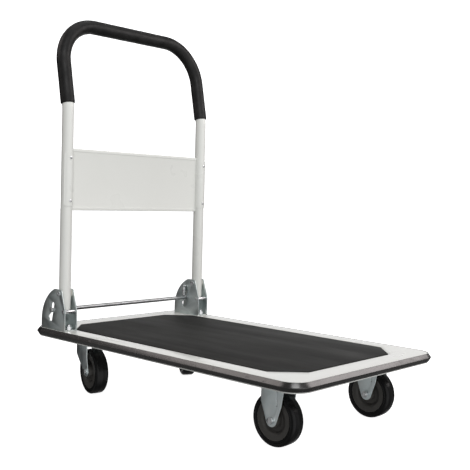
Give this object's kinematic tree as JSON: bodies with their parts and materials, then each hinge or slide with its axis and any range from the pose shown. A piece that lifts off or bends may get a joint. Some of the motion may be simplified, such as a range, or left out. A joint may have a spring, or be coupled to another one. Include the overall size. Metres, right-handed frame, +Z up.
{
  "type": "folding platform cart",
  "caption": "Low platform cart with a pressed steel deck, rubber bumper, fixed and swivel casters, and a fold-down tubular push handle released by a foot-pressed rod.",
  "frame": {"origin": "centre of the deck's outline, on the floor under the wheels", "axes": "+X along the deck away from the push handle, +Y to the left of someone pushing, +Z up"},
  "size_m": [0.84, 0.496, 0.906],
  "materials": {
    "white_paint": "gloss powder coat",
    "zinc_plate": "zinc plated, semi-gloss",
    "bright_steel": "bright zinc",
    "white_nylon": "smooth",
    "bumper_rubber": "gloss",
    "mat_vinyl": "satin",
    "grip_rubber": "satin",
    "tyre_rubber": "satin",
    "wheel_plastic": "moulded, satin"
  },
  "bodies": {
    "deck": {"deck_pan": "white_paint", "front_crossmember": "white_paint", "rear_crossmember": "white_paint", "deck_rails": "white_paint", "bumper": "bumper_rubber", "deck_mat": "mat_vinyl", "bracket_left": "zinc_plate", "bracket_right": "zinc_plate", "bracket_bolts": "bright_steel", "bracket_nuts": "bright_steel", "pivot_pins": "bright_steel", "pivot_washers": "white_nylon", "stop_pins": "bright_steel", "spring_left": "bright_steel", "spring_right": "bright_steel", "spring_studs": "bright_steel", "rigid_fork_left": "zinc_plate", "rigid_fork_right": "zinc_plate", "rigid_axles": "bright_steel", "rigid_axle_nuts": "bright_steel", "swivel_plate_left": "zinc_plate", "swivel_plate_right": "zinc_plate", "king_pins": "bright_steel", "bearing_balls": "bright_steel", "caster_bolts": "bright_steel", "caster_nuts": "bright_steel"},
    "handle": {"handle_tube": "white_paint", "handle_grip": "grip_rubber", "handle_panel": "white_paint", "panel_rivets": "bright_steel"},
    "lock_bar": {"lock_rod": "bright_steel", "rod_clips": "bright_steel"},
    "swivel_left": {"swivel_fork_left": "zinc_plate", "swivel_axle_left": "bright_steel", "swivel_nut_left": "bright_steel"},
    "swivel_right": {"swivel_fork_right": "zinc_plate", "swivel_axle_right": "bright_steel", "swivel_nut_right": "bright_steel"},
    "wheel_front_left": {"tyre_front_left": "tyre_rubber", "core_front_left": "wheel_plastic", "bush_front_left": "bright_steel"},
    "wheel_front_right": {"tyre_front_right": "tyre_rubber", "core_front_right": "wheel_plastic", "bush_front_right": "bright_steel"},
    "wheel_rear_left": {"tyre_rear_left": "tyre_rubber", "core_rear_left": "wheel_plastic", "bush_rear_left": "bright_steel"},
    "wheel_rear_right": {"tyre_rear_right": "tyre_rubber", "core_rear_right": "wheel_plastic", "bush_rear_right": "bright_steel"}
  },
  "joints": [
    {"name": "handle_fold", "type": "hinge", "parent": "deck", "child": "handle", "pos_m": [-0.317, 0, 0.2385], "axis": [0, 1, 0], "range_deg": [0, 90]},
    {"name": "lock_slide", "type": "slide", "parent": "deck", "child": "lock_bar", "axis": [-0.225, 0, -0.9744], "range_m": [0, 0.02], "stiffness_N_per_m": 1500, "springref_m": -0.012, "deforming": ["spring_left", "spring_right"]},
    {"name": "swivel_left", "type": "hinge", "parent": "deck", "child": "swivel_left", "pos_m": [-0.298, 0.161, 0.118], "axis": [0, 0, 1], "continuous": true},
    {"name": "swivel_right", "type": "hinge", "parent": "deck", "child": "swivel_right", "pos_m": [-0.298, -0.161, 0.118], "axis": [0, 0, 1], "continuous": true},
    {"name": "wheel_front_left_spin", "type": "hinge", "parent": "deck", "child": "wheel_front_left", "pos_m": [0.305, 0.161, 0.0535], "axis": [0, 1, 0], "continuous": true},
    {"name": "wheel_front_right_spin", "type": "hinge", "parent": "deck", "child": "wheel_front_right", "pos_m": [0.305, -0.161, 0.0535], "axis": [0, 1, 0], "continuous": true},
    {"name": "wheel_rear_left_spin", "type": "hinge", "parent": "swivel_left", "child": "wheel_rear_left", "pos_m": [-0.26832, 0.14245, 0.0535], "axis": [0.5299, 0.848, 0], "continuous": true},
    {"name": "wheel_rear_right_spin", "type": "hinge", "parent": "swivel_right", "child": "wheel_rear_right", "pos_m": [-0.26404, -0.16947, 0.0535], "axis": [0.2419, 0.9703, 0], "continuous": true}
  ]
}
